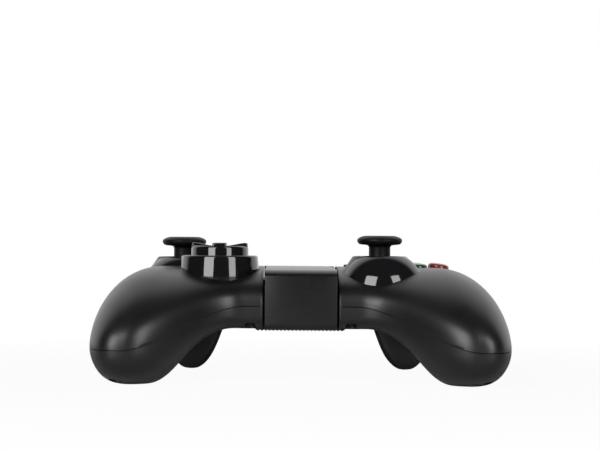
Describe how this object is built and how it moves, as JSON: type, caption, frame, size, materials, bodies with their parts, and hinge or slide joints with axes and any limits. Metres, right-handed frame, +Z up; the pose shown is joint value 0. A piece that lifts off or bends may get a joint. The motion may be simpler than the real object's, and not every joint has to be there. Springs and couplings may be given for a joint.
{
  "type": "gamepad",
  "caption": "Wireless gamepad with thumbsticks, a cross pad, face buttons, shoulder keys and a fold-up phone clamp between two grips",
  "frame": {"origin": "middle of the box's underside, on the table the grips rest on", "axes": "+X to the player's right, +Y away from the player, +Z up from the table"},
  "size_m": [0.1574, 0.1059, 0.055],
  "materials": {
    "satin_black_abs": "satin",
    "black_abs_lower": "satin",
    "piano_black": "gloss",
    "black_rubber": "matte",
    "green_button": "gloss",
    "red_button": "gloss",
    "blue_button": "gloss",
    "yellow_button": "gloss",
    "button_black": "satin",
    "light_pipe": "clear",
    "steel_pin": "brushed",
    "dark_screw": "blackened",
    "stamped_steel": "stamped",
    "pom_white": "moulded",
    "sensor_blue": "moulded",
    "silicone_grey": "matte",
    "board_green": "solder mask",
    "pouch_foil": "foil",
    "bracket_black": "moulded"
  },
  "bodies": {
    "case": {"top_shell": "satin_black_abs", "bottom_shell": "black_abs_lower", "grip_pad": "black_rubber", "case_screws": "dark_screw", "left_stick_eye": "piano_black", "right_stick_eye": "piano_black", "dpad_collar": "piano_black", "dpad_post": "bracket_black", "dpad_membrane": "silicone_grey", "button_membrane": "silicone_grey", "status_light": "light_pipe", "menu_switches": "stamped_steel", "main_board": "board_green", "battery": "pouch_foil", "usb_socket": "stamped_steel", "left_stick_frame": "stamped_steel", "left_stick_sensors": "sensor_blue", "right_stick_frame": "stamped_steel", "right_stick_sensors": "sensor_blue", "left_bracket": "bracket_black", "right_bracket": "bracket_black", "trigger_pins": "steel_pin", "bumper_pins": "steel_pin", "trigger_springs": "steel_pin", "clamp_tray": "bracket_black", "clamp_pin": "steel_pin"},
    "left_yoke": {"left_stick_yoke": "pom_white"},
    "left_sleeve": {"left_stick_sleeve": "pom_white"},
    "left_stick": {"left_stick_shaft": "steel_pin", "left_stick_cap": "black_rubber"},
    "left_rocker": {"left_stick_rocker": "pom_white"},
    "right_yoke": {"right_stick_yoke": "pom_white"},
    "right_sleeve": {"right_stick_sleeve": "pom_white"},
    "right_stick": {"right_stick_shaft": "steel_pin", "right_stick_cap": "black_rubber"},
    "right_rocker": {"right_stick_rocker": "pom_white"},
    "dpad_ring": {"dpad_gimbal": "stamped_steel"},
    "cross_pad": {"dpad": "piano_black"},
    "key_a": {"button_a": "green_button"},
    "key_b": {"button_b": "red_button"},
    "key_x": {"button_x": "blue_button"},
    "key_y": {"button_y": "yellow_button"},
    "key_select": {"select_button": "button_black"},
    "key_start": {"start_button": "button_black"},
    "key_home": {"home_button": "button_black"},
    "left_shoulder": {"left_bumper": "button_black"},
    "left_pull": {"left_trigger": "button_black"},
    "right_shoulder": {"right_bumper": "button_black"},
    "right_pull": {"right_trigger": "button_black"},
    "clamp_arm": {"clamp_arm": "satin_black_abs"},
    "clamp_jaw": {"clamp_jaw": "satin_black_abs", "clamp_cover": "satin_black_abs", "clamp_pad": "black_rubber"}
  },
  "joints": [
    {"name": "left_stick_x", "type": "hinge", "parent": "case", "child": "left_yoke", "pos_m": [-0.0455, 0.019, 0.0351], "axis": [1, 0, 0], "range_deg": [-16, 16], "stiffness_Nm_per_rad": 0.03},
    {"name": "left_stick_y", "type": "hinge", "parent": "left_yoke", "child": "left_sleeve", "pos_m": [-0.0455, 0.019, 0.0351], "axis": [0, 1, 0], "range_deg": [-16, 16], "stiffness_Nm_per_rad": 0.03},
    {"name": "left_stick_click", "type": "slide", "parent": "left_sleeve", "child": "left_stick", "axis": [0, 0, -1], "range_m": [0, 0.0005], "stiffness_N_per_m": 2000, "springref_m": -0.0006},
    {"name": "left_stick_rocker", "type": "hinge", "parent": "case", "child": "left_rocker", "pos_m": [-0.0455, 0.019, 0.0351], "axis": [0, 1, 0], "range_deg": [-16, 16]},
    {"name": "right_stick_x", "type": "hinge", "parent": "case", "child": "right_yoke", "pos_m": [0.0301, -0.0065, 0.0363], "axis": [1, 0, 0], "range_deg": [-16, 16], "stiffness_Nm_per_rad": 0.03},
    {"name": "right_stick_y", "type": "hinge", "parent": "right_yoke", "child": "right_sleeve", "pos_m": [0.0301, -0.0065, 0.0363], "axis": [0, 1, 0], "range_deg": [-16, 16], "stiffness_Nm_per_rad": 0.03},
    {"name": "right_stick_click", "type": "slide", "parent": "right_sleeve", "child": "right_stick", "axis": [0, 0, -1], "range_m": [0, 0.0005], "stiffness_N_per_m": 2000, "springref_m": -0.0006},
    {"name": "right_stick_rocker", "type": "hinge", "parent": "case", "child": "right_rocker", "pos_m": [0.0301, -0.0065, 0.0363], "axis": [0, 1, 0], "range_deg": [-16, 16]},
    {"name": "dpad_tilt_x", "type": "hinge", "parent": "case", "child": "dpad_ring", "pos_m": [-0.0308, -0.0065, 0.0435], "axis": [1, 0, 0], "range_deg": [-4.5, 4.5], "stiffness_Nm_per_rad": 0.1},
    {"name": "dpad_tilt_y", "type": "hinge", "parent": "dpad_ring", "child": "cross_pad", "pos_m": [-0.0308, -0.0065, 0.0435], "axis": [0, 1, 0], "range_deg": [-4.5, 4.5], "stiffness_Nm_per_rad": 0.1},
    {"name": "press_a", "type": "slide", "parent": "case", "child": "key_a", "axis": [0, 0, -1], "range_m": [0, 0.0015], "stiffness_N_per_m": 400, "springref_m": -0.0006},
    {"name": "press_b", "type": "slide", "parent": "case", "child": "key_b", "axis": [0, 0, -1], "range_m": [0, 0.0015], "stiffness_N_per_m": 400, "springref_m": -0.0006},
    {"name": "press_x", "type": "slide", "parent": "case", "child": "key_x", "axis": [0, 0, -1], "range_m": [0, 0.0015], "stiffness_N_per_m": 400, "springref_m": -0.0006},
    {"name": "press_y", "type": "slide", "parent": "case", "child": "key_y", "axis": [0, 0, -1], "range_m": [0, 0.0015], "stiffness_N_per_m": 400, "springref_m": -0.0006},
    {"name": "press_select", "type": "slide", "parent": "case", "child": "key_select", "axis": [0, 0, -1], "range_m": [0, 0.0006], "stiffness_N_per_m": 800, "springref_m": -0.0006},
    {"name": "press_start", "type": "slide", "parent": "case", "child": "key_start", "axis": [0, 0, -1], "range_m": [0, 0.0006], "stiffness_N_per_m": 800, "springref_m": -0.0006},
    {"name": "press_home", "type": "slide", "parent": "case", "child": "key_home", "axis": [0, 0, -1], "range_m": [0, 0.0006], "stiffness_N_per_m": 800, "springref_m": -0.0006},
    {"name": "left_bumper_press", "type": "hinge", "parent": "case", "child": "left_shoulder", "pos_m": [-0.035, 0.0326, 0.0364], "axis": [-1, 0, 0], "range_deg": [0, 5], "stiffness_Nm_per_rad": 0.4, "springref_deg": -2.86},
    {"name": "left_trigger_pull", "type": "hinge", "parent": "case", "child": "left_pull", "pos_m": [-0.041, 0.0352, 0.0293], "axis": [-1, 0, 0], "range_deg": [0, 16], "stiffness_Nm_per_rad": 0.08, "springref_deg": -20.05},
    {"name": "right_bumper_press", "type": "hinge", "parent": "case", "child": "right_shoulder", "pos_m": [0.035, 0.0326, 0.0364], "axis": [-1, 0, 0], "range_deg": [0, 5], "stiffness_Nm_per_rad": 0.4, "springref_deg": -2.86},
    {"name": "right_trigger_pull", "type": "hinge", "parent": "case", "child": "right_pull", "pos_m": [0.041, 0.0352, 0.0293], "axis": [-1, 0, 0], "range_deg": [0, 16], "stiffness_Nm_per_rad": 0.08, "springref_deg": -20.05},
    {"name": "clamp_fold", "type": "hinge", "parent": "case", "child": "clamp_arm", "pos_m": [0, 0.0393, 0.0402], "axis": [-1, 0, 0], "range_deg": [0, 110]},
    {"name": "clamp_reach", "type": "slide", "parent": "clamp_arm", "child": "clamp_jaw", "axis": [0, -1, 0], "range_m": [0, 0.028], "stiffness_N_per_m": 100, "springref_m": -0.02}
  ],
  "couplings": [
    {"joint": "left_stick_rocker", "follows": "left_stick_y", "ratio": 1},
    {"joint": "right_stick_rocker", "follows": "right_stick_y", "ratio": 1}
  ]
}
